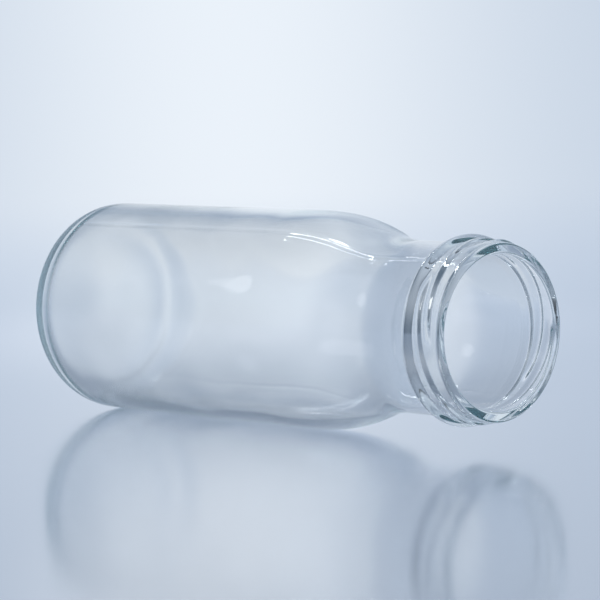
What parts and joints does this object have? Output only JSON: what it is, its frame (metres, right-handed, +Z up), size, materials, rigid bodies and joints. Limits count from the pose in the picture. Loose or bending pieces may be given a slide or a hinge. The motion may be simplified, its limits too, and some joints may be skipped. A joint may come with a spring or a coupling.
{
  "type": "wide-mouth glass milk bottle",
  "caption": "Empty clear glass bottle lying on its side: straight round body, rounded shoulder, short straight neck, beaded twist-off threaded mouth, hollow right through to a pushed-up base.",
  "frame": {"origin": "under the middle of the bottle's length, on the line where its side rests on the floor", "axes": "+X along the bottle's axis from the base towards the mouth, +Z up from the floor it lies on"},
  "size_m": [0.1616, 0.061, 0.061],
  "materials": {
    "clear_glass": "smooth fire-polished clear glass"
  },
  "bodies": {
    "root": {"glass_bottle": "clear_glass"}
  },
  "joints": []
}
